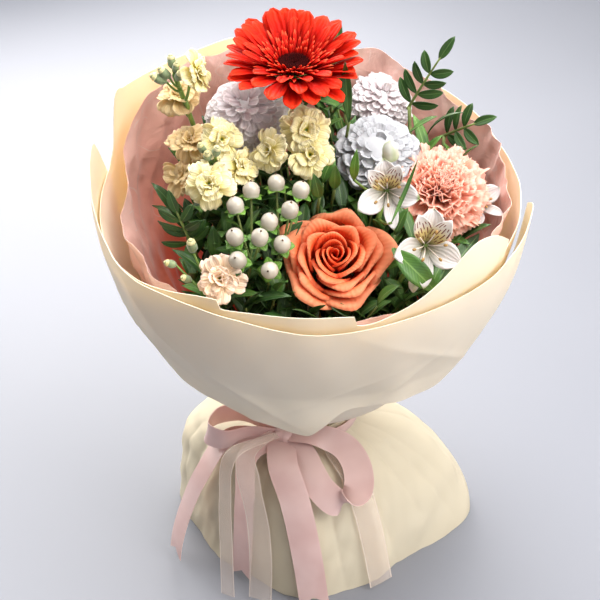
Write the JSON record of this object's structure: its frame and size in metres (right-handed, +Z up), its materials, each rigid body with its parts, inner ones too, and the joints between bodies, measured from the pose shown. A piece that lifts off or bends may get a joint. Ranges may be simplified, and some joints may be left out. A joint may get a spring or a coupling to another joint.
{
  "type": "mixed flower bouquet",
  "caption": "Hand-tied mixed flower bouquet in a wide bowl of folded paper with a crinkled film lining, a tied ribbon bow and a flared paper skirt that stands on its hem.",
  "frame": {"origin": "on the surface the bouquet stands on, at the cut end of the middle stem", "axes": "+Z up along the bunch, -Y to the front, where the outer sheet and the bow are, +X to the right as seen from the front"},
  "size_m": [0.2963, 0.2397, 0.395],
  "materials": {
    "gerbera_red": "matt petal",
    "gerbera_disc": "matt florets",
    "stem_green": "satin plant stem",
    "rose_orange": "matt petal",
    "carnation_pink": "matt petal",
    "mum_white": "matt petal",
    "stock_cream": "matt petal",
    "berry_white": "satin berry skin",
    "lily_white": "matt petal",
    "leaf_green": "satin leaf",
    "cream_paper": "matt coated paper",
    "pink_film": "crinkled glossy film",
    "binding_twine": "twine",
    "satin_ribbon": "satin weave",
    "sheer_ribbon": "sheer weave"
  },
  "bodies": {
    "root": {"gerbera_petals": "gerbera_red", "gerbera_disc": "gerbera_disc", "gerbera_stem": "stem_green", "rose_bloom": "rose_orange", "rose_stem": "stem_green", "carnation_bloom": "carnation_pink", "carnation_stem": "stem_green", "mum_left_bloom": "mum_white", "mum_left_stem": "stem_green", "mum_right_bloom": "mum_white", "mum_right_stem": "stem_green", "mum_back_bloom": "mum_white", "mum_back_stem": "stem_green", "stock_top_left": "stock_cream", "stock_left": "stock_cream", "stock_middle": "stock_cream", "stock_low_left": "stock_cream", "hypericum_left": "berry_white", "hypericum_right": "berry_white", "alstroemeria_upper": "lily_white", "alstroemeria_lower": "lily_white", "alstroemeria_right": "lily_white", "lentisk_upper_right": "leaf_green", "lentisk_far_right": "leaf_green", "lentisk_low_left": "leaf_green", "lentisk_back": "leaf_green", "paper_back_left": "cream_paper", "paper_front": "cream_paper", "paper_back_right": "cream_paper", "pink_film": "pink_film", "paper_outer": "cream_paper", "paper_skirt": "cream_paper", "stem_binding": "binding_twine", "satin_ribbon": "satin_ribbon", "sheer_tail_middle": "sheer_ribbon", "sheer_tail_left": "sheer_ribbon", "sheer_tail_right": "sheer_ribbon"}
  },
  "joints": []
}
